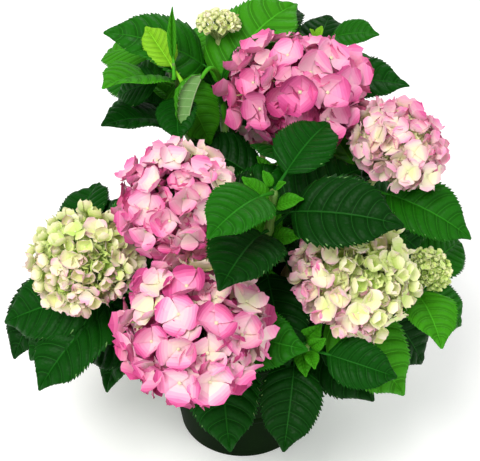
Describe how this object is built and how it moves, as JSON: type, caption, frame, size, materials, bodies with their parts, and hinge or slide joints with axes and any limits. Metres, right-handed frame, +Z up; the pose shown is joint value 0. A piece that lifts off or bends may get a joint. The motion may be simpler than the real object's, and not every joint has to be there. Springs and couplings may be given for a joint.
{
  "type": "potted hydrangea shrub",
  "caption": "Rounded leafy shrub with large round pink and cream flower heads, growing in a plain round nursery pot filled with potting mix.",
  "frame": {"origin": "centre of the pot's flat underside, on the ground", "axes": "+Z up; the side with most blooms faces -Y, and +X is to the right of someone who looks at it from there"},
  "size_m": [0.4302, 0.4321, 0.4145],
  "materials": {
    "pot": "moulded dark olive-green plastic, slightly satin",
    "potting_mix": "moist peat and bark bits",
    "stems": "green stems, brown and ridged where older",
    "foliage": "glossy veined green leaves",
    "blossom": "soft matt sepals, pink to cream",
    "bud_blossom": "small lime-green and cream flower buds"
  },
  "bodies": {
    "root": {"pot": "pot", "potting_mix": "potting_mix", "stem_crown_pink": "stems", "leaves_crown_pink": "foliage", "flower_crown_pink": "blossom", "stem_right_blush": "stems", "leaves_right_blush": "foliage", "flower_right_blush": "blossom", "stem_left_pink": "stems", "leaves_left_pink": "foliage", "flower_left_pink": "blossom", "stem_left_green": "stems", "leaves_left_green": "foliage", "flower_left_green": "blossom", "stem_front_pink": "stems", "leaves_front_pink": "foliage", "flower_front_pink": "blossom", "stem_right_cream": "stems", "leaves_right_cream": "foliage", "flower_right_cream": "blossom", "stem_right_bud": "stems", "leaves_right_bud": "foliage", "flower_right_bud": "bud_blossom", "stem_back_bud": "stems", "leaves_back_bud": "foliage", "flower_back_bud": "bud_blossom", "stem_back_pink": "stems", "leaves_back_pink": "foliage", "flower_back_pink": "blossom", "stem_back_left_pink": "stems", "leaves_back_left_pink": "foliage", "flower_back_left_pink": "blossom", "stem_back_right_cream": "stems", "leaves_back_right_cream": "foliage", "flower_back_right_cream": "blossom", "stem_far_left_green": "stems", "leaves_far_left_green": "foliage", "flower_far_left_green": "blossom", "stem_centre_leafy": "stems", "leaves_centre_leafy": "foliage", "stem_back_leafy": "stems", "leaves_back_leafy": "foliage", "stem_back_left_leafy": "stems", "leaves_back_left_leafy": "foliage", "stem_front_leafy": "stems", "leaves_front_leafy": "foliage", "stem_left_leafy": "stems", "leaves_left_leafy": "foliage"}
  },
  "joints": []
}
